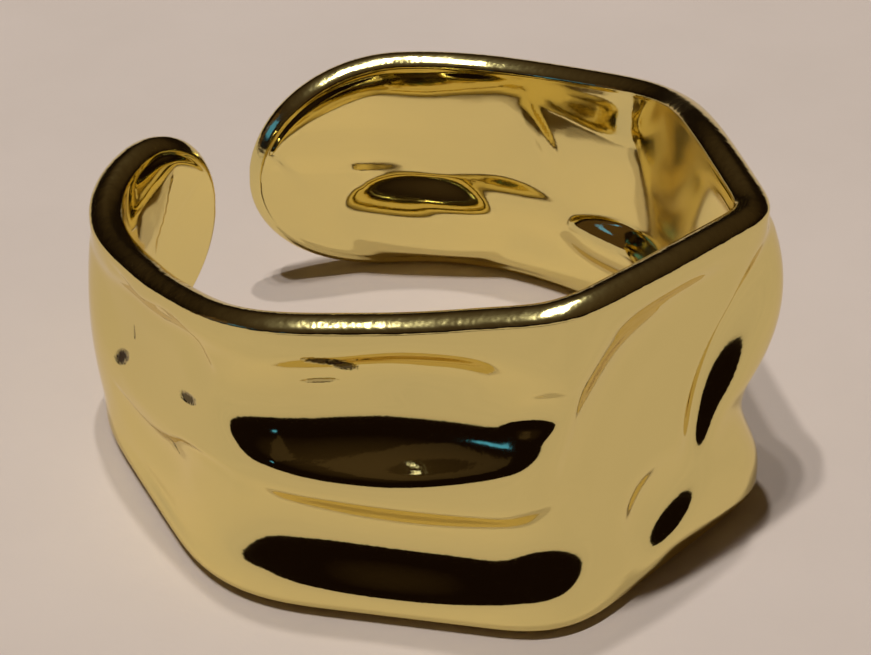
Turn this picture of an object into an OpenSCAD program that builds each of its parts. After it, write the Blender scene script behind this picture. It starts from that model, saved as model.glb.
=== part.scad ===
// Adjustable ring: one strip of metal, rounded at both ends, bent to a six-cornered
// loop that stays open at the back, with shallow hollows pressed into its outer face.
// It lies on its side: the finger hole runs along Z, the opening faces +Y, and the
// widest stretch of the strip faces -Y. Lengths are millimetres, turns are degrees.

/* [Strip] */
// Length of the strip along its middle, from tip to tip
strip_length = 54.2; // [53.4:0.1:54.6]
// Height of the strip where it is widest
strip_high = 10; // [8:0.1:12]
// Thickness of the metal
wall = 0.97; // [0.8:0.01:1.2]
// Length of the rounded end at the first tip
tip_first = 5.4; // [4:0.1:7]
// Length of the rounded end at the last tip
tip_last = 4.6; // [3.8:0.1:7]
// How far the rounded edge bulges, half the thickness of the metal for a half circle
edge_bulge = 0.28; // [0.2:0.01:0.6]

/* [Loop] */
// How far the top edge stands toward +X, for each millimetre of height
lean_x = 0.035; // [0:0.005:0.08]
// How far the top edge stands toward +Y, for each millimetre of height
lean_y = 0.008; // [0:0.002:0.04]
// Heading of the strip at its first tip
start_heading = -180; // [-190:1:-170]

/* [Hollows] */
// Depth of the hollows and swellings, as a share of the depths in their tables
relief = 1; // [0:0.05:1.1]
// Share of the outer relief that shows on the inner face
follow = 0.8; // [0.4:0.05:1]
// Softness of the ridge round each hollow, as a share of the values in the table
ridge_round = 1; // [0.5:0.1:1.5]
// Distance below the top edge at which the outer relief starts
calm_start = 0.2; // [0.1:0.05:0.5]
// Height over which it then grows to its full depth
calm_top = 1; // [0.5:0.05:1.5]
// Height over which it dies out again above the bottom edge
calm_bottom = 0.5; // [0.3:0.05:1]

/* [Facets] */
// Distance between the sections along the strip
section_step = 0.52; // [0.5:0.02:1.2]
// Rows of points on each face, from edge to edge
face_rows = 15; // [9:1:15]
// Sections in each rounded end
tip_sections = 9; // [5:1:10]

/* [Hidden] */

radius = wall / 2;

// The bends, in order from the first tip. AT is the distance of the middle of the
// bend from the tip, OVER the length of strip that it takes, TURN its angle.
AT = 0;
OVER = 1;
TURN = 2;
BENDS = [
    [1.9, 1.6, 16.5],
    [4.65, 8.4, 57.2],
    [14.4, 6.6, 53.6],
    [23.25, 4.3, 57.4],
    [30.9, 2.7, 50.1],
    [39.95, 7.1, 45.2],
    [47.35, 13.7, 55.1],
];

// The edges. HIGH is the height of the strip at that place, as a share of
// strip_high. OUT is how far the top edge stands outside the bottom edge.
HIGH = 1;
OUT = 2;
EDGES = [
    [0, 0.94, -0.15],
    [4.6, 0.745, 0.15],
    [9.5, 0.765, 0.05],
    [14.4, 0.845, -0.75],
    [18.8, 0.895, -0.95],
    [23.3, 0.98, -0.8],
    [27.2, 1, -0.35],
    [31, 0.985, -0.3],
    [35.5, 0.975, -0.6],
    [39.9, 0.875, -0.55],
    [45, 0.785, -0.2],
    [50, 0.765, 0.05],
    [54.2, 0.78, -0.1],
];

// The relief of the outer face. UP is the height of the middle of a hollow as a
// share of the strip's height there, LONG and TALL are half its length and half
// its height, DEEP its depth (below 0 it is a swelling), TILT how far its length
// rises toward the last tip, BLUNT how blunt its ends are (2 is an ellipse), and
// SOFT how soft the ridge round it is.
UP = 1;
LONG = 2;
TALL = 3;
DEEP = 4;
TILT = 5;
BLUNT = 6;
SOFT = 7;
HOLLOWS = [
    // front, upper with the notch at its right end, and lower
    [18.55, 0.705, 5.45, 1.95, 0.8, 6, 1.7, 0.18],
    [22.55, 0.685, 1.15, 0.6, 0.15, 25.5, 2, 0.3],
    [18.85, 0.25, 5.35, 1.35, 0.22, 0.5, 3.5, 0.18],
    // right side, one large oval, and the two dents at its far edge
    [25.65, 0.54, 5.05, 3, 0.75, 58, 2, 0.16],
    [29.4, 0.585, 2.95, 0.8, 0.71, 64.5, 2, 0.46],
    [27, 0.225, 1.6, 1.1, 0.45, 37.5, 2, 0.49],
    // shoulder, waist and foot of the right corner
    [32.3, 0.67, 1.7, 2.6, -0.74, -3.5, 2, 0.5],
    [31.25, 0.315, 2.3, 1.4, 0.36, -6.5, 2, 0.5],
    [30.4, 0.115, 3.4, 1.9, -0.3, -2, 2, 0.5],
    // behind the right corner
    [35.8, 0.66, 3.4, 2, 0.15, -20, 2, 0.2],
    [36.4, 0.25, 3.2, 1.5, 0.15, 0, 2, 0.2],
    // back
    [48.6, 0.245, 3.05, 1.6, 0.8, 8.5, 2.2, 0.2],
    [39.5, 0.31, 4, 1, 0.68, -4.5, 3.4, 0.2],
    [45.8, 0.37, 3.1, 0.9, 0.2, 1, 2, 0.3],
    [51.5, 0.6, 2.95, 0.75, -0.14, 7, 2, 0.3],
    // left side, upper and lower, and the swelling of the left corner
    [11, 0.72, 4.9, 2.55, 0.36, 2, 2, 0.2],
    [11.2, 0.225, 4.5, 1.7, 0.25, 6, 2, 0.2],
    [5, 0.5, 3, 2.8, -0.25, 0, 2, 0.2],
];

function clamp01(u) = min(1, max(0, u));

// A smooth step from 0 to 1, level at both ends
function ease(u) = let (c = clamp01(u)) c * c * c * (c * (6 * c - 15) + 10);

function sum(list, i = 0) = i == len(list) ? 0 : list[i] + sum(list, i + 1);

// Direction of the strip at the distance s from the first tip
function heading(s) = start_heading + sum([
    for (b = BENDS) b[TURN] * ease((s - b[AT]) / b[OVER] + 0.5)
]);

// Points of the strip's middle line, by short straight steps
PATH_STEPS = 540;
path_step = strip_length / PATH_STEPS;
PATH = [
    for (i = 0, p = [0, 0]; i <= PATH_STEPS;
        p = p + path_step * [cos(heading((i + 0.5) * path_step)), sin(heading((i + 0.5) * path_step))],
        i = i + 1) p
];
function path_at(s) = let (
    k = min(PATH_STEPS - 1, floor(s / path_step)),
    t = s / path_step - k
) PATH[k] * (1 - t) + PATH[k + 1] * t;

// Value of one column of EDGES at the distance s, by a smooth curve through its rows
function edge_row(s, k = 0) = k == len(EDGES) - 2 || s < EDGES[k + 1][AT] ? k : edge_row(s, k + 1);
function edge_slope(k, col) = let (
    a = max(0, k - 1),
    b = min(len(EDGES) - 1, k + 1)
) (EDGES[b][col] - EDGES[a][col]) / (EDGES[b][AT] - EDGES[a][AT]);
function edge_at(s, col) = let (
    k = edge_row(s),
    h = EDGES[k + 1][AT] - EDGES[k][AT],
    t = (s - EDGES[k][AT]) / h,
    t2 = t * t,
    t3 = t2 * t
) (2 * t3 - 3 * t2 + 1) * EDGES[k][col] + (t3 - 2 * t2 + t) * h * edge_slope(k, col)
    + (3 * t2 - 2 * t3) * EDGES[k + 1][col] + (t3 - t2) * h * edge_slope(k + 1, col);

function high(s) = strip_high * edge_at(s, HIGH);

// Share of the full height that the rounded ends leave at the distance s
function end_share(s) = let (
    a = clamp01(s / tip_first),
    b = clamp01((strip_length - s) / tip_last)
) sqrt(max(0, 1 - (1 - a) * (1 - a))) * sqrt(max(0, 1 - (1 - b) * (1 - b)));

// Height of the middle line of the edge: side is 1 for the top and -1 for the bottom
function edge_z(s, side) = high(s) / 2 + side * (high(s) / 2 - edge_bulge) * end_share(s);

// How deep one hollow is at the distance s and the height z
function soft(c, width) = (c + sqrt(c * c + width * width)) / 2;
function hollow(h, s, z) = let (
    along = s - h[AT],
    above = z - h[UP] * high(h[AT]),
    u = (along * cos(h[TILT]) + above * sin(h[TILT])) / h[LONG],
    v = (above * cos(h[TILT]) - along * sin(h[TILT])) / h[TALL]
) h[DEEP] * soft(1 - pow(abs(u), h[BLUNT]) - v * v, ridge_round * h[SOFT]);

// The relief dies out toward the edges
function calm(s, z) = ease((edge_z(s, 1) - z - calm_start) / calm_top)
    * ease((z - edge_z(s, -1)) / calm_bottom);
function depth(s, z) = relief * calm(s, z) * sum([for (h = HOLLOWS) hollow(h, s, z)]);

// Directions at the distance s: along the strip, and square to it outward
function along_dir(s) = [cos(heading(s)), sin(heading(s)), 0];
function out_dir(s) = [sin(heading(s)), -cos(heading(s)), 0];

// Middle of the metal's edge or face at the distance s and the height z
function middle(s, z) = let (
    p = path_at(s),
    o = edge_at(s, OUT) * z / high(s)
) [p[0] + lean_x * z, p[1] + lean_y * z, z] + o * out_dir(s);
function outer_point(s, z) = middle(s, z) + (radius - depth(s, z)) * out_dir(s);
function inner_point(s, z) = middle(s, z) - (radius + follow * depth(s, z)) * out_dir(s);

// Places of the sections: close together in the rounded ends, even between them. The
// outermost stands tip_stop degrees along the end's curve, where it has some height.
tip_stop = 11;
plain_length = strip_length - tip_first - tip_last;
plain_sections = ceil(plain_length / section_step);
function tip_angle(i) = tip_stop + (90 - tip_stop) * i / tip_sections;
STATIONS = concat(
    [for (i = [0:tip_sections - 1]) tip_first * (1 - cos(tip_angle(i)))],
    [for (i = [0:plain_sections]) tip_first + plain_length * i / plain_sections],
    [for (i = [tip_sections - 1:-1:0]) strip_length - tip_last * (1 - cos(tip_angle(i)))]
);
last_station = len(STATIONS) - 1;
last_row = face_rows - 1;

// The two faces: a grid of points each, section by section, from bottom to top
function row_z(s, j) = edge_z(s, -1) + (edge_z(s, 1) - edge_z(s, -1)) * j / last_row;
OUTER = [for (s = STATIONS, j = [0:last_row]) outer_point(s, row_z(s, j))];
INNER = [for (s = STATIONS, j = [0:last_row]) inner_point(s, row_z(s, j))];

// The way round the outline of the faces: along the top, down the last tip, back
// along the bottom and up the first tip. Each stop is a station, a row, and the
// direction in which the rounded edge bulges there, along the strip and up.
SLOPE_REACH = 0.002;
function unit(v) = v / norm(v);
function edge_rise(s, side) = (edge_z(s + SLOPE_REACH, side) - edge_z(s - SLOPE_REACH, side))
    / (2 * SLOPE_REACH);
function bulge_top(i) = unit([-edge_rise(STATIONS[i], 1), 1]);
function bulge_bottom(i) = unit([edge_rise(STATIONS[i], -1), -1]);
function bulge_end(i, j) = unit(bulge_bottom(i) * (1 - j / last_row) + bulge_top(i) * j / last_row);
OUTLINE = concat(
    [for (i = [0:last_station]) [i, last_row, bulge_top(i)]],
    [for (j = [last_row - 1:-1:1]) [last_station, j, bulge_end(last_station, j)]],
    [for (i = [last_station:-1:0]) [i, 0, bulge_bottom(i)]],
    [for (j = [1:last_row - 1]) [0, j, bulge_end(0, j)]]
);

// The rounded edge: half an ellipse from the outer to the inner face at every stop
EDGE_POINTS = 6;
edge_step = 180 / (EDGE_POINTS + 1);
function edge_point(o, q) = let (
    s = STATIONS[o[0]],
    bulge = o[2][0] * along_dir(s) + [0, 0, o[2][1]]
) middle(s, row_z(s, o[1])) + radius * cos(q * edge_step) * out_dir(s)
    + edge_bulge * sin(q * edge_step) * bulge;
ROUND = [for (o = OUTLINE, q = [1:EDGE_POINTS]) edge_point(o, q)];

// All points, moved so that the strip stands on Z = 0 about the Z axis
RAW = concat(OUTER, INNER, ROUND);
function lowest(axis) = min([for (p = RAW) p[axis]]);
function highest(axis) = max([for (p = RAW) p[axis]]);
ORIGIN = [(lowest(0) + highest(0)) / 2, (lowest(1) + highest(1)) / 2, lowest(2)];
POINTS = [for (p = RAW) p - ORIGIN];

// Faces: the two grids, then the strips of the rounded edge
function grid_index(face, i, j) = (face * (last_station + 1) + i) * face_rows + j;
round_start = len(OUTER) + len(INNER);
function outline_index(k, q) = let (
    o = OUTLINE[k % len(OUTLINE)]
) q == 0 ? grid_index(0, o[0], o[1])
    : q > EDGE_POINTS ? grid_index(1, o[0], o[1])
    : round_start + (k % len(OUTLINE)) * EDGE_POINTS + q - 1;
function two_triangles(a, b, c, d) = [[a, b, c], [a, c, d]];
FACES = concat(
    [for (i = [0:last_station - 1], j = [0:last_row - 1], t = two_triangles(
        grid_index(0, i, j), grid_index(0, i, j + 1),
        grid_index(0, i + 1, j + 1), grid_index(0, i + 1, j))) t],
    [for (i = [0:last_station - 1], j = [0:last_row - 1], t = two_triangles(
        grid_index(1, i, j), grid_index(1, i + 1, j),
        grid_index(1, i + 1, j + 1), grid_index(1, i, j + 1))) t],
    [for (k = [0:len(OUTLINE) - 1], q = [0:EDGE_POINTS], t = two_triangles(
        outline_index(k, q), outline_index(k, q + 1),
        outline_index(k + 1, q + 1), outline_index(k + 1, q))) t]
);

module band() {
    color([0.86, 0.74, 0.36])
        polyhedron(points = POINTS, faces = FACES, convexity = 8);
}

band();
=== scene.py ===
# %% [markdown]
# # An open finger ring in polished pale gold
# The ring is one strip of metal, bent to a loop of six soft corners that stays open
# between its two rounded tips. Its outer face carries shallow hollows, as if a thumb had
# been pressed into warm wax, and all of it is plated and polished to a mirror. A mirror
# has hardly any colour of its own to look at: what the eye reads is the pale table, the
# dark room and a few lamps, bent by the slopes of the metal. So this lesson spends most
# of its effort on the slopes, then on the room, and least on the metal's own finish.
# All lengths of the strip are in millimetres. A place on it is told by its distance from
# the first tip, along the strip, and its height above the table.

# %% Load the frame
import math

import bmesh
import bpy
import numpy as np
from mathutils import Matrix, Vector


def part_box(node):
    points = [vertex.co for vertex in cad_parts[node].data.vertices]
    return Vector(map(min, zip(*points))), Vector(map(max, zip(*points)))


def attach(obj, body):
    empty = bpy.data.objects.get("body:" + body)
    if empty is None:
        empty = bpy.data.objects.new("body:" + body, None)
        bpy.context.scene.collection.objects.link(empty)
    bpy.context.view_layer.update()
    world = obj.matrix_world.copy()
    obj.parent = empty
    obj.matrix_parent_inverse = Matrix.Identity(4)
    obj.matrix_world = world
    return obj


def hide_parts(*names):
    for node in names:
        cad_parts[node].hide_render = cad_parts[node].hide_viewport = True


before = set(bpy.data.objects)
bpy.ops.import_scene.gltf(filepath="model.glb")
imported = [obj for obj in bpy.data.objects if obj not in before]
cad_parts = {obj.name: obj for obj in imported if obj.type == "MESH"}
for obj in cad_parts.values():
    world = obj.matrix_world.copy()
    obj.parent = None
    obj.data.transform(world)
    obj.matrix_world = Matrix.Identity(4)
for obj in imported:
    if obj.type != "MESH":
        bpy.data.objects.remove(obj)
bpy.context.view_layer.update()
MM = 0.001
low, high = (np.array(corner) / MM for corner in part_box("band"))
print("The ring in the frame, mm:", np.round(high - low, 2))

# %% [markdown]
# ## The loop
# Seen from above, the strip is straight for a few millimetres, then turns, then runs
# straight again. It could be drawn as a curve with handles, but handles fight each other
# at soft corners. Here the strip has a heading, as a ship has: every bend adds its angle
# to the heading over a certain length, smoothly, and the path follows from walking along
# it in small steps. Straight stretches then stay truly straight, which a mirror shows.

# %% The path of the strip
STRIP_LENGTH = 54.2
START_HEADING = -180
# distance of the bend's middle from the first tip, length that it takes, angle in degrees
BENDS = [
    (1.9, 1.6, 16.5),
    (4.65, 8.4, 57.2),
    (14.4, 6.6, 53.6),
    (23.25, 4.3, 57.4),
    (30.9, 2.7, 50.1),
    (39.95, 7.1, 45.2),
    (47.35, 13.7, 55.1),
]
PATH_STEPS = 5420


def ease(u):
    """A smooth step from 0 to 1, level at both ends."""
    c = np.clip(u, 0, 1)
    return c * c * c * (c * (6 * c - 15) + 10)


def heading(s):
    """Direction of the strip, in radians, at the distance s from the first tip."""
    turned = sum(turn * ease((s - at) / over + 0.5) for at, over, turn in BENDS)
    return np.radians(START_HEADING + turned)


walk = np.linspace(0, STRIP_LENGTH, PATH_STEPS + 1)
halfway = heading((walk[1:] + walk[:-1]) / 2)
path_x = np.concatenate([[0], np.cumsum(np.cos(halfway))]) * STRIP_LENGTH / PATH_STEPS
path_y = np.concatenate([[0], np.cumsum(np.sin(halfway))]) * STRIP_LENGTH / PATH_STEPS
turned_in_all = sum(turn for at, over, turn in BENDS)
gap = math.hypot(path_x[-1], path_y[-1])
print(f"The strip turns {turned_in_all:.0f} degrees and leaves {gap:.1f} mm between its tips")

# %% [markdown]
# ## The edges
# The strip is ten millimetres high at one corner and only seven and a half near its tips,
# and its upper edge stands a little outside or inside the lower one, so that each facet
# leans in its own way. A short table says both at a few places, and a smooth curve joins
# them. The ends are rounded like the end of a tongue, with a quarter of an ellipse above
# and below.

# %% The height of the strip
TIP_FIRST = 5.4
TIP_LAST = 4.6
# how far the rounded edge bulges past the faces, at the top and at the foot
RIM = 0.28
FOOT = 0.36
# distance from the first tip, height, how far the top edge stands outside the bottom edge
HEIGHT, OVERHANG = 1, 2
EDGES = np.array([
    (0, 9.4, -0.15),
    (4.6, 7.45, 0.15),
    (9.5, 7.65, 0.05),
    (14.4, 8.45, -0.75),
    (18.8, 8.95, -0.95),
    (23.3, 9.8, -0.8),
    (27.2, 10, -0.35),
    (31, 9.85, -0.3),
    (35.5, 9.75, -0.6),
    (39.9, 8.75, -0.55),
    (45, 7.85, -0.2),
    (50, 7.65, 0.05),
    (54.2, 7.8, -0.1),
])


def join(t, span, value, next_value, slope, next_slope):
    """The smooth curve between two rows of a table, where t runs from 0 to 1."""
    start = (2 * t**3 - 3 * t**2 + 1) * value + (t**3 - 2 * t**2 + t) * span * slope
    return start + (3 * t**2 - 2 * t**3) * next_value + (t**3 - t**2) * span * next_slope


def edge_row(s, column):
    """A smooth curve through one column of EDGES."""
    at, value = EDGES[:, 0], EDGES[:, column]
    slope = np.empty(len(at))
    slope[1:-1] = (value[2:] - value[:-2]) / (at[2:] - at[:-2])
    slope[0] = (value[1] - value[0]) / (at[1] - at[0])
    slope[-1] = (value[-1] - value[-2]) / (at[-1] - at[-2])
    k = np.clip(np.searchsorted(at, s, side="right") - 1, 0, len(at) - 2)
    span = at[k + 1] - at[k]
    return join((s - at[k]) / span, span, value[k], value[k + 1], slope[k], slope[k + 1])


def tall(s):
    return edge_row(s, HEIGHT)


def end_share(s):
    """Share of the full height that the rounded ends leave."""
    first = 1 - np.clip(s / TIP_FIRST, 0, 1)
    last = 1 - np.clip((STRIP_LENGTH - s) / TIP_LAST, 0, 1)
    return np.sqrt(1 - first**2) * np.sqrt(1 - last**2)


def edge_z(s, side):
    """Height at which the faces end: side is 1 for the top and -1 for the foot."""
    return tall(s) / 2 + side * (tall(s) / 2 - (RIM if side > 0 else FOOT)) * end_share(s)


print(f"The strip is {tall(walk).min():.2f} to {tall(walk).max():.2f} mm high")

# %% [markdown]
# ## The relief
# Each hollow is a shallow scoop, cut as with the side of a ball, and where two scoops
# meet they leave a soft ridge. A swelling is a scoop with a depth below zero. The table
# has one row for each of them. This is what draws the picture in the metal: a slope that
# looks up past the table's edge mirrors the dark room, and its outline is a curve of
# equal slope, flat along the top and bellied below. Displacing the mesh by a texture
# could not place those curves, so each scoop is placed one by one. The strip is thin, so
# most of each hollow shows on the inner face too, as a swelling toward the finger.

# %% Hollows and swellings
# how far under the top edge the relief starts, and over what heights it grows, at the
# top and at the foot
CALM_START, CALM_TOP, CALM_BOTTOM = 0.2, 1.0, 0.5
# distance, share of the height, half length, half height, depth, tilt, bluntness, softness
HOLLOWS = [
    # front, upper with the notch at its right end, and lower
    (18.55, 0.705, 5.45, 1.95, 0.8, 6, 1.7, 0.18),
    (22.55, 0.685, 1.15, 0.6, 0.15, 25.5, 2, 0.3),
    (18.85, 0.25, 5.35, 1.35, 0.22, 0.5, 3.5, 0.18),
    # right side, one large oval, and the two dents at its far edge
    (25.65, 0.54, 5.05, 3, 0.75, 58, 2, 0.16),
    (29.4, 0.585, 2.95, 0.8, 0.71, 64.5, 2, 0.46),
    (27, 0.225, 1.6, 1.1, 0.45, 37.5, 2, 0.49),
    # shoulder, waist and foot of the right corner
    (32.3, 0.67, 1.7, 2.6, -0.74, -3.5, 2, 0.5),
    (31.25, 0.315, 2.3, 1.4, 0.36, -6.5, 2, 0.5),
    (30.4, 0.115, 3.4, 1.9, -0.3, -2, 2, 0.5),
    # behind the right corner
    (35.8, 0.66, 3.4, 2, 0.15, -20, 2, 0.2),
    (36.4, 0.25, 3.2, 1.5, 0.15, 0, 2, 0.2),
    # back
    (48.6, 0.245, 3.05, 1.6, 0.8, 8.5, 2.2, 0.2),
    (39.5, 0.31, 4, 1, 0.68, -4.5, 3.4, 0.2),
    (45.8, 0.37, 3.1, 0.9, 0.2, 1, 2, 0.3),
    (51.5, 0.6, 2.95, 0.75, -0.14, 7, 2, 0.3),
    # left side, upper and lower, and the swelling of the left corner
    (11, 0.72, 4.9, 2.55, 0.36, 2, 2, 0.2),
    (11.2, 0.225, 4.5, 1.7, 0.25, 6, 2, 0.2),
    (5, 0.5, 3, 2.8, -0.25, 0, 2, 0.2),
]


def scoop(row, s, z):
    """Depth of one hollow, where it has any, with a soft ridge round it."""
    at, up, half_long, half_high, deep, tilt, blunt, softness = row
    tilt = math.radians(tilt)
    along, above = s - at, z - up * tall(at)
    u = (along * math.cos(tilt) + above * math.sin(tilt)) / half_long
    v = (above * math.cos(tilt) - along * math.sin(tilt)) / half_high
    c = 1 - np.abs(u) ** blunt - v * v
    return deep * (c + np.sqrt(c * c + softness**2)) / 2


def calm(s, z):
    """The relief dies out toward the edges."""
    from_top = ease((edge_z(s, 1) - z - CALM_START) / CALM_TOP)
    return from_top * ease((z - edge_z(s, -1)) / CALM_BOTTOM)


swellings = sum(row[4] < 0 for row in HOLLOWS)
print(f"{len(HOLLOWS) - swellings} hollows and {swellings} swellings")

# %% [markdown]
# ## Creases
# Between the hollows the metal folds more sharply. A crease is a line on the strip; on its
# right hand, walking along it, the metal sinks over a narrow step and rises again slowly.
# On a mirror a step of a tenth of a millimetre is enough for a clear line of brown gold.
# Creases could be modelled with edge loops, but then each correction moves many points by
# hand. As rows of numbers they can be moved until the reflection falls in its place.

# %% Creases of the outer face
# along each crease: distance, height, depth, width of the step, width of the slow rise
CREASES = [
    # the lip between the front hollows
    [(14.4, 3.75, 0, 0.7, 2.2), (15.2, 3.65, 0.19, 0.8, 2.2), (16.4, 3.5, 0.28, 1.05, 2.2),
     (18, 3.3, 0.35, 1.3, 2.2), (20, 3.3, 0.34, 1.3, 2.2), (21.2, 3.45, 0.29, 1.15, 2.2),
     (22.4, 3.65, 0.26, 1.05, 2.2), (23.3, 3.8, 0.16, 0.95, 2.2), (24.4, 3.9, 0, 0.8, 2.2)],
    # the arc where the right side's oval begins
    [(22.95, 3.7, 0, 0.7, 2), (23.1, 4.5, 0.08, 0.8, 2), (23.45, 5.6, 0.13, 0.95, 2),
     (24.05, 6.85, 0.14, 1.05, 2), (24.9, 7.85, 0.14, 1.1, 2), (26.45, 8.35, 0.1, 0.9, 1.5),
     (28.2, 8.45, 0, 0.9, 1)],
    # the narrow groove under the front rim
    [(17.2, 7.5, 0, 0.5, 1.2), (17.6, 7.65, 0.08, 0.7, 1.2), (18.1, 7.8, 0.14, 0.9, 1.3),
     (18.9, 7.95, 0.19, 1.15, 1.4), (19.7, 8, 0.16, 1, 1.4), (20.6, 8, 0.11, 0.8, 1.3),
     (21.2, 7.95, 0, 0.5, 1.1)],
    # left side, upper
    [(7.65, 7.05, 0, 0.25, 1.3), (8.95, 7, 0.07, 0.25, 1.3), (9.85, 6.9, 0.07, 0.25, 1.3),
     (11.05, 7.25, 0.09, 0.3, 1.6), (11.95, 7.2, 0.12, 0.4, 1.6),
     (12.85, 6.55, 0.11, 0.5, 1.6), (13.35, 6.15, 0, 0.5, 1.6)],
    # left side, lower
    [(7.35, 2.8, 0, 0.25, 1.5), (8.45, 2.6, 0.11, 0.3, 1.5),
     (9.55, 2.55, 0.15, 0.35, 1.5), (10.65, 2.8, 0.18, 0.5, 1.5),
     (12.05, 3.5, 0.15, 0.4, 1.5), (13.15, 3.75, 0.12, 0.35, 1.5),
     (14.15, 3.8, 0.09, 0.3, 1.5), (14.95, 3.65, 0, 0.3, 1.5)],
]
print(len(CREASES), "creases on the outer face")

# %% [markdown]
# ## Swellings of the inner face
# Inside, the strip was pushed about from the other side, and what shows is mostly
# rounded: a long swelling under the back's top edge with a short fold slanting down from
# it, one at the foot of the back, and one in the first tip. They use the same kind of
# row, with depths below zero.

# %% Creases of the inner face
INNER_CREASES = [
    # the swelling along the back's top edge
    [(38.4, 8.7, 0, 0.8, 3), (39.4, 8.0, -0.13, 1.4, 3), (40.4, 7.4, -0.2, 1.6, 3),
     (41.4, 7.15, -0.24, 1.6, 3), (42.4, 7.05, -0.21, 1.5, 3.4), (43.6, 7.05, -0.13, 1.2, 4),
     (44.8, 7.15, -0.06, 1.3, 4), (45.8, 7.2, -0.06, 1.2, 4), (46.8, 7.2, -0.12, 1.4, 4),
     (48.6, 6.95, -0.15, 1.3, 4), (50.8, 6.95, -0.14, 1.1, 4), (52.6, 6.4, -0.16, 1.3, 4),
     (54, 5.25, -0.13, 1.05, 3)],
    # the slanted fold below it
    [(43.4, 4.8, 0, 0.3, 0.8), (43.8, 5.3, -0.06, 0.4, 0.8), (44.5, 6.15, -0.06, 0.4, 0.8),
     (45.1, 6.9, 0, 0.3, 0.8)],
    # the foot of the back
    [(40.5, 1.5, 0, 1.3, 3), (43, 1.5, -0.1, 1.5, 3), (49, 1.5, -0.12, 1.5, 3),
     (52, 1.9, -0.08, 1.4, 3), (53.4, 2.4, 0, 1.2, 3)],
    # the top of the first tip
    [(0.5, 6.2, -0.05, 0.9, 3), (1.5, 7.1, -0.2, 1.3, 3), (3, 7, -0.28, 1.5, 3),
     (4.6, 6.4, -0.25, 1.4, 3), (6.4, 6.3, 0, 1.2, 3)],
]
print(len(INNER_CREASES), "swellings on the inner face")

# %% [markdown]
# ## From a few rows to a line
# A crease that jumps from row to row would be mirrored as a broken line. So a smooth
# curve runs through its rows, and its depth and widths change along it as smoothly. It
# must not curl round its sinking side more tightly than the slow rise is wide, or the
# rises of its two halves run into each other and leave a seam.

# %% A smooth line through the rows
TRACK_STEPS = 240


def track(table):
    """The line through a crease's rows, its direction at each step, and a step's length."""
    rows = np.array(table, float)
    run = np.concatenate([[0], np.cumsum(np.hypot(*np.diff(rows[:, :2], axis=0).T))])
    slope = np.gradient(rows, run, axis=0)
    at = np.linspace(0, run[-1], TRACK_STEPS + 1)
    k = np.clip(np.searchsorted(run, at, side="right") - 1, 0, len(run) - 2)
    span = (run[k + 1] - run[k])[:, None]
    t = (at - run[k])[:, None] / span
    line = join(t, span, rows[k], rows[k + 1], slope[k], slope[k + 1])
    way = np.gradient(line[:, :2], axis=0)
    return line, way / np.linalg.norm(way, axis=1, keepdims=True), run[-1] / TRACK_STEPS


tracks = [[track(table) for table in group] for group in (CREASES, INNER_CREASES)]
lengths = [round(stride * TRACK_STEPS, 1) for group in tracks for line, way, stride in group]
print("The creases and swellings are", lengths, "mm long")

# %% [markdown]
# ## The depth beside a line
# Each place on the strip looks for the nearest step of the line, and then asks how far
# to its right it lies. A height map could give the same, but only as fine as its pixels,
# and a mirror shows pixels at once.

# %% The whole relief
CREASE_EDGE = 0.3
# share of the outer hollows that shows on the inner face
FOLLOW = 0.8


def crease(line, way, stride, s, z):
    """Depth that one crease adds at each place."""
    found = np.zeros(s.shape)
    at, up, deep, step, slow = line.T
    reach = (step + slow).max()
    near = (s > at.min() - reach) & (s < at.max() + reach)
    near &= (z > up.min() - reach) & (z < up.max() + reach)
    a, b = s[near][:, None] - at, z[near][:, None] - up
    k = (a * a + b * b).argmin(1)
    a, b = a[np.arange(len(k)), k], b[np.arange(len(k)), k]
    along = k + (a * way[k, 0] + b * way[k, 1]) / stride
    inside = np.clip(along, 0, len(line) - 1)
    right = a * way[k, 1] - b * way[k, 0]
    deep, step, slow = (np.interp(inside, np.arange(len(line)), part) for part in (deep, step, slow))
    sink = ease(right / step + 0.5) * (1 - ease((right - step / 2) / slow))
    found[near] = deep * sink * (1 - ease(np.abs(along - inside) * stride / CREASE_EDGE))
    return found


def relief(s, z):
    """How deep the outer face lies, and how far the inner face stands out toward the finger."""
    hollow = calm(s, z) * sum(scoop(row, s, z) for row in HOLLOWS)
    border = ease((edge_z(s, 1) - z) / CREASE_EDGE) * ease((z - edge_z(s, -1)) / CREASE_EDGE)
    folds, inner_folds = (sum(crease(*line, s, z) for line in group) for group in tracks)
    return hollow + border * folds, FOLLOW * hollow - border * inner_folds


front_s = np.array([HOLLOWS[0][0]])
sunk, raised = relief(front_s, HOLLOWS[0][1] * tall(front_s))
print(f"The front hollow is {sunk[0]:.2f} mm deep outside and stands out {raised[0]:.2f} mm inside")

# %% [markdown]
# ## The strip as a mesh
# The metal is about a millimetre thick all over. Two sheets of points, the outer face and
# the inner face, share one grid of places on the strip, with sections that stand closer
# at the rounded tips. A plane bent by modifiers would do for a plain band, but here the
# two faces have different relief, so the points are worked out directly.

# %% The grid and the two faces
WALL = 0.97
# how far the whole ring leans toward +X and +Y for each millimetre of height
LEAN = (0.035, 0.008)
STEP = 0.115
ROWS = 78
TIP_STEPS = 56
# degrees of the tip's ellipse that are cut off at its very end
TIP_STOP = 4

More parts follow.
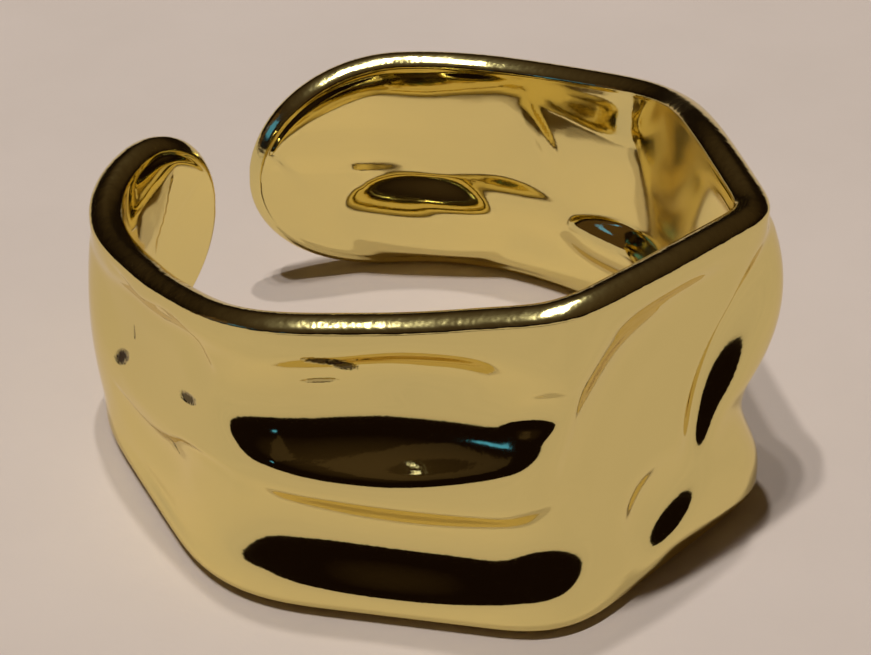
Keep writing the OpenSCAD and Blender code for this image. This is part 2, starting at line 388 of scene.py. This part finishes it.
tip_angles = np.radians(np.linspace(TIP_STOP, 90, TIP_STEPS, endpoint=False))
between_tips = STRIP_LENGTH - TIP_FIRST - TIP_LAST
stations = np.concatenate([
    TIP_FIRST * (1 - np.cos(tip_angles)),
    TIP_FIRST + np.linspace(0, between_tips, math.ceil(between_tips / STEP) + 1),
    STRIP_LENGTH - TIP_LAST * (1 - np.cos(tip_angles[::-1])),
])
S, SHARE = np.meshgrid(stations, np.linspace(0, 1, ROWS), indexing="ij")
Z = edge_z(S, -1) + (edge_z(S, 1) - edge_z(S, -1)) * SHARE


def outward(s):
    """Direction away from the finger, square to the strip."""
    return np.stack([np.sin(heading(s)), -np.cos(heading(s)), 0 * s], -1)


def middle(s, z):
    """Middle of the metal at the distance s and the height z."""
    x, y = np.interp(s, walk, path_x), np.interp(s, walk, path_y)
    out = edge_row(s, OVERHANG) * z / tall(s)
    return np.stack([x + LEAN[0] * z, y + LEAN[1] * z, z], -1) + out[..., None] * outward(s)


def faces_at(s, z):
    """Points of the outer and the inner face."""
    sunk, raised = relief(s, z)
    out = middle(s, z) + (WALL / 2 - sunk)[..., None] * outward(s)
    return out, middle(s, z) - (WALL / 2 + raised)[..., None] * outward(s)


outer, inner = faces_at(S, Z)
print(f"{len(stations)} sections of {ROWS} points on each face")

# %% [markdown]
# ## The rounded edge
# The edge of the real strip is rounded, as tumbling leaves it, all the way round: along
# the top, down the tips and along the foot. A bevel would need a clean corner to work on,
# and the relief leaves none. So a row of half rings goes round the outline, each from the
# outer face to the inner one. They are a little more pointed than an ellipse, which keeps
# the white line along the rim thin.

# %% The half rings of the edge
RIM_POINTS = 9
# above 1, the half rings are more pointed than an ellipse
EDGE_SHARP = 1.35
# how far to each side the slope of the outline is measured
SLOPE_REACH = 0.002
last = len(stations) - 1


def bulge(k, side):
    """Direction in which the edge bulges, square to its outline: along the strip, and up."""
    s = stations[k]
    rise = (edge_z(s + SLOPE_REACH, side) - edge_z(s - SLOPE_REACH, side)) / (2 * SLOPE_REACH)
    v = side * np.array([-rise, 1])
    return v / np.linalg.norm(v)


def end_bulge(k, j):
    """The same at the end of a tip, between its foot and its top."""
    v = bulge(k, -1) * (1 - j / (ROWS - 1)) + bulge(k, 1) * j / (ROWS - 1)
    return v / np.linalg.norm(v)


outline = [(k, ROWS - 1, bulge(k, 1)) for k in range(last + 1)]
outline += [(last, j, end_bulge(last, j)) for j in range(ROWS - 2, 0, -1)]
outline += [(k, 0, bulge(k, -1)) for k in range(last, -1, -1)]
outline += [(0, j, end_bulge(0, j)) for j in range(1, ROWS - 1)]
edge_s = np.array([S[k, j] for k, j, way in outline])
edge_up = np.array([Z[k, j] for k, j, way in outline])
bulges = np.array([way for k, j, way in outline])
forward = np.stack([np.cos(heading(edge_s)), np.sin(heading(edge_s)), 0 * edge_s], -1)
side_way = bulges[:, :1] * forward + bulges[:, 1:] * np.array([0, 0, 1])
bulge_size = FOOT + (RIM - FOOT) * edge_up / tall(edge_s)
rounds = []
for q in range(1, RIM_POINTS + 1):
    angle = math.pi * q / (RIM_POINTS + 1)
    across = WALL / 2 * math.copysign(abs(math.cos(angle)) ** EDGE_SHARP, math.cos(angle))
    bulged = bulge_size[:, None] * math.sin(angle) ** EDGE_SHARP * side_way
    rounds.append(middle(edge_s, edge_up) + across * outward(edge_s) + bulged)
rounds = np.stack(rounds, 1)
print(f"The edge is {len(outline)} half rings of {RIM_POINTS} points")

# %% [markdown]
# ## One closed skin
# The two sheets and the half rings share the numbers of their border points, so that the
# skin is closed and the light can't slip into a gap. Merging by distance would also
# close it, but it would eat the closest points of the tips.

# %% Join the sheets and the edge
points = np.concatenate([outer.reshape(-1, 3), inner.reshape(-1, 3), rounds.reshape(-1, 3)])
grid = np.arange(S.size).reshape(S.shape)
first_round = 2 * S.size


def quads(a, flip):
    """Faces of a sheet of point numbers."""
    loop = [a[:-1, :-1], a[1:, :-1], a[1:, 1:], a[:-1, 1:]]
    return np.stack(loop[::-1] if flip else loop, -1).reshape(-1, 4)


hoops = first_round + np.arange(rounds.shape[0] * RIM_POINTS).reshape(-1, RIM_POINTS)
start = np.array([grid[k, j] for k, j, way in outline])
hoops = np.concatenate([start[:, None], hoops, start[:, None] + S.size], 1)
hoops = np.concatenate([hoops, hoops[:1]])
faces = np.concatenate([quads(grid, False), quads(grid + S.size, True), quads(hoops, False)])

centre = (points.max(0) + points.min(0)) / 2
frame_centre = (low + high) / 2
points -= (centre[0] - frame_centre[0], centre[1] - frame_centre[1], points[:, 2].min())
print("The loop's middle lies at", np.round(centre[:2], 3), "from the path's start")

mesh = bpy.data.meshes.new("band_metal")
mesh.from_pydata((points * MM).tolist(), [], faces.tolist())
mesh.validate()
solid = bmesh.new()
solid.from_mesh(mesh)
bmesh.ops.recalc_face_normals(solid, faces=solid.faces)
solid.to_mesh(mesh)
solid.free()
mesh.shade_smooth()
print(len(mesh.polygons) * 2, "triangles")

# %% [markdown]
# ## Marks for the finish
# The finish differs from place to place: the rim is nicked, the small dents on the outer
# face are coloured near-black, and the inside of the rear corner looks brushed, as if no
# buffing wheel had reached it. Painting these by hand would tie them to this mesh. Numbers that each
# point carries do the same, and two of them are the strip's own distance and height.

# %% Numbers on the points
BRUSHED_AT = 36.2
BRUSHED_REACH = 3.8

rim_share = np.repeat((edge_up > tall(edge_s) / 2).astype(float), RIM_POINTS)
brushed_share = 1 - np.clip(np.abs(S.ravel() - BRUSHED_AT) / BRUSHED_REACH, 0, 1) ** 4
not_here = np.zeros(S.size)
not_on_edge = np.zeros(rim_share.size)
# on the outer face, on the inner face, on the edge
on_points = {
    "rim": (not_here, not_here, rim_share),
    "brushed": (not_here, brushed_share, not_on_edge),
    "outside": (np.ones(S.size), not_here, not_on_edge),
    "along": (S.ravel(), S.ravel(), np.repeat(edge_s, RIM_POINTS)),
    "above": (Z.ravel(), Z.ravel(), np.repeat(edge_up, RIM_POINTS)),
}
for name, parts in on_points.items():
    mesh.attributes.new(name, "FLOAT", "POINT").data.foreach_set("value", np.concatenate(parts))
band = bpy.data.objects.new("band_metal", mesh)
bpy.context.scene.collection.objects.link(band)
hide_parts("band")
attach(band, "root")
print("Each point carries", ", ".join(on_points))

# %% [markdown]
# ## Shader maths as plain Python
# A node tree is a sum written in boxes. The first class holds one socket, and its
# operators add the Math nodes, so that the recipes below can be read like formulas. The
# second has one method for every node, which sets its settings first and then fills or
# links its sockets. Linking node by node works as well, but hides the formula.

# %% A socket with operators, and a recipe
class Wire:
    """A socket of a recipe."""

    def __init__(self, recipe, socket):
        self.recipe = recipe
        self.socket = socket

    def math(self, operation, first, second):
        return self.recipe.add("Math", {"operation": operation}, i0=first, i1=second)

    def __add__(self, other):
        return self.math("ADD", self, other)

    def __sub__(self, other):
        return self.math("SUBTRACT", self, other)

    def __rsub__(self, other):
        return self.math("SUBTRACT", other, self)

    def __mul__(self, other):
        return self.math("MULTIPLY", self, other)

    __radd__ = __add__
    __rmul__ = __mul__


class Recipe:
    """The nodes of a material or of the world, and one way to add any node to them."""

    def __init__(self, owner):
        owner.use_nodes = True
        self.tree = owner.node_tree
        self.tree.nodes.clear()

    def add(self, kind, settings=None, out=0, **values):
        """Sockets go by their name, with _ for a space, or by i and their number."""
        node = self.tree.nodes.new("ShaderNode" + kind)
        for name, value in (settings or {}).items():
            if name == "stops":
                self.set_stops(node.color_ramp.elements, value)
            else:
                setattr(node, name, value)
        for name, value in values.items():
            numbered = name[0] == "i" and name[1:].isdigit()
            socket = node.inputs[int(name[1:]) if numbered else name.replace("_", " ")]
            if isinstance(value, Wire):
                self.tree.links.new(value.socket, socket)
            else:
                socket.default_value = value
        return Wire(self, node.outputs[out]) if node.outputs else None

    def set_stops(self, ramp, stops):
        while len(ramp) < len(stops):
            ramp.new(1.0)
        for stop, (position, colour) in zip(ramp, stops):
            stop.position, stop.color = position, colour


# %% [markdown]
# ## The plating
# Pale gold, probably over brass, buffed to a mirror. Four things keep it from looking
# like a computer's mirror: the buffing leaves very fine waves, which fray the edges of
# every reflection; the rim is nicked and a little duller, since it touches everything;
# the inside of the rear corner is only brushed; and a few small dents are coloured near-black.
# One noise over everything would be quicker, but it would dull the whole strip. So the
# waves are kept a few thousandths of a millimetre deep, and the rest is laid where the
# numbers on the points say.

# %% Near-black colour in the small dents
plating = bpy.data.materials.new("band_plating")
recipe = Recipe(plating)
# distance, height, half length, half height, tilt in degrees, strength of each darkened dent
DENTS = [
    (16.8, 7.58, 0.5, 0.16, -4, 1.0),
    (17.2, 7.4, 0.4, 0.15, -22, 0.9),
    (16.6, 6.78, 0.45, 0.07, 5, 0.35),
    (8.12, 3.96, 0.4, 0.2, 38, 1.0),
    (11.96, 4.82, 0.42, 0.14, 14, 0.9),
    (10.9, 2.76, 0.4, 0.06, -22, 0.4),
    (8.76, 5.08, 0.05, 0.22, 5, 0.5),
]
# a dent ends between these two distances from its middle, in half lengths squared, to
# which the noise adds this much
PLAIN_FROM, DARKEST_TO, RAGGED = 2.2, 1.2, 1.6
STRIP_NAMES = ("along", "above", "outside")
place = recipe.add("TexCoord", out=3)
rim = recipe.add("Attribute", {"attribute_name": "rim"}, out=2)
along, above, outside = (
    recipe.add("Attribute", {"attribute_name": name}, out=2) for name in STRIP_NAMES)
waves = recipe.add("TexNoise", Vector=place, Scale=4500.0, Detail=3.0, Roughness=0.55)
broad = recipe.add("TexNoise", Vector=place, Scale=420.0, Detail=2.0, Roughness=0.5)
nicks = recipe.add("TexNoise", Vector=place, Scale=2100.0, Detail=2.0, Roughness=0.6)


def darkened_dent(at, up, half_long, half_high, tilt, strength):
    """How dark the strip's colour is made round one dent."""
    c, s = math.cos(math.radians(tilt)), math.sin(math.radians(tilt))
    u = (along - at) * (c / half_long) + (above - up) * (s / half_long)
    v = (above - up) * (c / half_high) + (along - at) * (-s / half_high)
    ragged = recipe.add("TexNoise", Vector=place, Scale=9000.0, Detail=2.0)
    far = u * u + v * v + ragged * RAGGED
    return recipe.add("MapRange", Value=far, i1=PLAIN_FROM, i2=DARKEST_TO, i3=0.0, i4=strength)


spots = [darkened_dent(*row) for row in DENTS]
dents = sum(spots[1:], spots[0]) * outside
print(len(spots), "dirty dents")

# %% [markdown]
# ## The gold itself
# Metal takes its colour from Base Color, and the tint at glancing angles from Specular
# Tint. A bump could be one sum of all heights, but the waves, the dents and the nicks
# have very different depths, so three bumps follow each other, each with its own.

# %% The gold
GOLD = (0.83, 0.71, 0.295, 1)
# near-black colour laid into the small dents on the outer face
DENT_BLACK = (0.03, 0.016, 0.008, 1)
GLANCING = (0.925, 0.88, 0.78, 1)
# depths in metres
WAVE_DEPTH, DENT_DEPTH, NICK_DEPTH = 1.6e-6, 6e-5, 1.9e-5
# roughness of the buffed metal, and what the rim and the brushed corner add to it
BUFFED, RIM_ADDS, BRUSHED_ADDS = 0.055, 0.09, 0.17

fine = recipe.add("Bump", Height=waves * 0.9 + broad * 2.0, Strength=1.0, Distance=WAVE_DEPTH)
dented = recipe.add("Bump", Height=dents * -1.0, Strength=1.0, Distance=DENT_DEPTH, Normal=fine)
normal = recipe.add("Bump", Height=nicks * rim, Strength=1.0, Distance=NICK_DEPTH, Normal=dented)
brushed = recipe.add("Attribute", {"attribute_name": "brushed"}, out=2)
# the gold turns near-black where the dents mask is high
plated = recipe.add("Mix", {"data_type": "RGBA"}, out=2, i0=dents, i6=GOLD, i7=DENT_BLACK)
gold = recipe.add(
    "BsdfPrincipled",
    Base_Color=plated,
    Specular_Tint=GLANCING,
    Metallic=1.0,
    Roughness=rim * RIM_ADDS + brushed * BRUSHED_ADDS + BUFFED,
    Normal=normal,
)
recipe.add("OutputMaterial", Surface=gold)
band.data.materials.append(plating)
print(len(recipe.tree.nodes), "nodes in the plating")

# %% [markdown]
# ## The table
# The ring lies on a pale sheet of paper, in a dark room. The sheet reaches as far as the
# metal can see, because its far edge is what turns the mirror from pale to black. A flat
# colour would do for the eye, but the metal shows the paper again from close by, so it
# has a faint mottle and the fine bump of its fibres.

# %% A pale floor
FLOOR_REACH = 400
PAPER_DARK, PAPER_LIGHT = (0.70, 0.585, 0.50, 1), (0.74, 0.62, 0.535, 1)
sheet = bmesh.new()
bmesh.ops.create_grid(sheet, x_segments=1, y_segments=1, size=FLOOR_REACH * MM)
floor_mesh = bpy.data.meshes.new("floor")
sheet.to_mesh(floor_mesh)
sheet.free()
floor = bpy.data.objects.new("floor", floor_mesh)
bpy.context.scene.collection.objects.link(floor)

floor_paper = bpy.data.materials.new("floor_paper")
paper = Recipe(floor_paper)
spot = paper.add("TexCoord", out=3)
mottle = paper.add("TexNoise", Vector=spot, Scale=90.0, Detail=4.0, Roughness=0.6)
tint = paper.add("ValToRGB", {"stops": [(0.3, PAPER_DARK), (0.7, PAPER_LIGHT)]}, Fac=mottle)
fibre = paper.add("TexNoise", Vector=spot, Scale=1800.0, Detail=3.0, Roughness=0.6)
weave = paper.add("Bump", Height=fibre, Strength=0.4, Distance=2e-5)
matt = paper.add("BsdfPrincipled", Base_Color=tint, Roughness=0.9, Normal=weave)
paper.add("OutputMaterial", Surface=matt)
floor_mesh.materials.append(floor_paper)
print(f"The sheet is {2 * FLOOR_REACH} mm wide")

# %% [markdown]
# ## The dark room
# What the metal mirrors above the table's edge is a room at dusk: nearly black low down,
# and a little browner and lighter toward the ceiling. One background colour would make
# all dark areas of the metal alike, so the colour follows the height of the direction.

# %% The dark room
scene = bpy.context.scene
scene.view_settings.view_transform = "Standard"
# height of the direction, colour
ROOM_STOPS = [
    (0.3, (0.006, 0.0028, 0.0016, 1)),
    (0.55, (0.03, 0.018, 0.009, 1)),
    (1.0, (0.06, 0.039, 0.021, 1)),
]
world = bpy.data.worlds.new("room")
walls = Recipe(world)
direction = walls.add("TexCoord")
rise = walls.add("SeparateXYZ", out=2, i0=direction)
dusk = walls.add("ValToRGB", {"stops": ROOM_STOPS}, Fac=rise)
walls.add("OutputWorld", Surface=walls.add("Background", Color=dusk))
scene.world = world
print(len(ROOM_STOPS), "colours from the floor to the ceiling")

# %% [markdown]
# ## The lamps
# Four small lamps hang in a row almost straight above. Each throws its own short shadow,
# and where the shadows overlap the paper is darkest. One large soft box would be easier,
# but it would blur those steps. The rest is there for the mirror only: a wide panel above
# that turns the top of every rim white, blue light from outdoors that crosses the inside
# of the back, and the brown walls that warm the dark areas. Most of these give the paper
# no light, so that they can stand where the reflections ask for them.

# %% Lamps
WHITE = (1, 1, 1)
# direction over the floor in which the camera looks; one side of each panel is square to it
LOOK_AHEAD = Vector((0.685, 0.729, 0))
# name, direction from the ring, distance, width, height (0 if it is round), all in
# metres, then watts, colour, and whether it lights the paper
LAMPS = [
    ("lamp_1", (-0.251, 0.106, 1), 1.0, 0.035, 0, 2.55, WHITE, True),
    ("lamp_2", (-0.14, 0.1, 1), 1.0, 0.035, 0, 1.8, WHITE, True),
    ("lamp_3", (-0.055, 0.085, 1), 1.0, 0.035, 0, 0.7, WHITE, True),
    ("lamp_4", (0.147, 0.157, 1), 1.0, 0.035, 0, 2.3, WHITE, True),
    ("window", (-0.957, -0.165, 0.24), 1.0, 0.035, 0.05, 0.006, (0.07, 0.37, 1.0), True),
    ("far_lamp", (-0.81, -0.215, 0.545), 1.0, 0.013, 0, 0.001, WHITE, True),
    ("panel", (-0.1, 0.11, 1), 1.0, 0.28, 0.34, 2.6, WHITE, False),
    ("sky", (-0.82, 0.4, 0.36), 1.0, 0.26, 0.4, 0.25, (0.08, 0.38, 1.0), False),
    ("pane", (-0.64, 0.70, 0.31), 1.0, 0.06, 0.05, 0.008, (0.07, 0.37, 1.0), False),
    ("side_wall", (-0.64, 0.72, 0.22), 1.05, 0.7, 0.3, 0.04, (1.0, 0.55, 0.2), False),
    ("far_wall", (-0.8, -0.3, 0.5), 1.0, 0.5, 0.14, 0.005, (1.0, 0.7, 0.45), True),
]


def hang(name, toward, far, wide, tall_side, watts, colour, lights_paper):
    """A lamp that looks at the ring."""
    light = bpy.data.lights.new(name, "AREA")
    light.shape = "RECTANGLE" if tall_side else "DISK"
    light.size = wide
    if tall_side:
        light.size_y = tall_side
    light.energy = watts
    light.color = colour
    lamp = bpy.data.objects.new(name, light)
    scene.collection.objects.link(lamp)
    way = Vector(toward).normalized()
    side = LOOK_AHEAD.cross(way).normalized()
    axes = Matrix((side, way.cross(side), way)).transposed().to_4x4()
    lamp.matrix_world = Matrix.Translation(way * far) @ axes
    lamp.visible_diffuse = lights_paper


for row in LAMPS:
    hang(*row)
print(len(LAMPS), "lamps,", sum(row[-1] for row in LAMPS), "of them light the paper")

# %% [markdown]
# ## The camera
# It looks down at the front facet with a long lens, and it is tipped by half a degree,
# as a hand-held camera is. A camera could be dragged into place by eye, but then every
# proportion would be off by a little, so it stands at an angle and a distance from a
# point inside the ring, both measured from the outlines of the edges.

# %% Camera
# angles in radians, lengths in millimetres
AZIMUTH, ELEVATION, ROLL = math.radians(-43.24), math.radians(34.0), 0.0095
DISTANCE = 69.3
TARGET = Vector((2.128, 1.799, 1.523)) * MM
LENS, SENSOR = 92.65, 36
NEAREST = 5
back = Vector((
    math.sin(AZIMUTH) * math.cos(ELEVATION),
    -math.cos(AZIMUTH) * math.cos(ELEVATION),
    math.sin(ELEVATION),
))
camera_data = bpy.data.cameras.new("camera")
camera_data.lens = LENS
camera_data.sensor_width = SENSOR
camera_data.clip_start = NEAREST * MM
camera = bpy.data.objects.new("camera", camera_data)
scene.collection.objects.link(camera)
turn = back.to_track_quat("Z", "Y").to_matrix() @ Matrix.Rotation(ROLL, 3, "Z")
camera.matrix_world = Matrix.Translation(TARGET + back * DISTANCE * MM) @ turn.to_4x4()
scene.camera = camera
print("Camera at", [round(v / MM, 1) for v in camera.location])
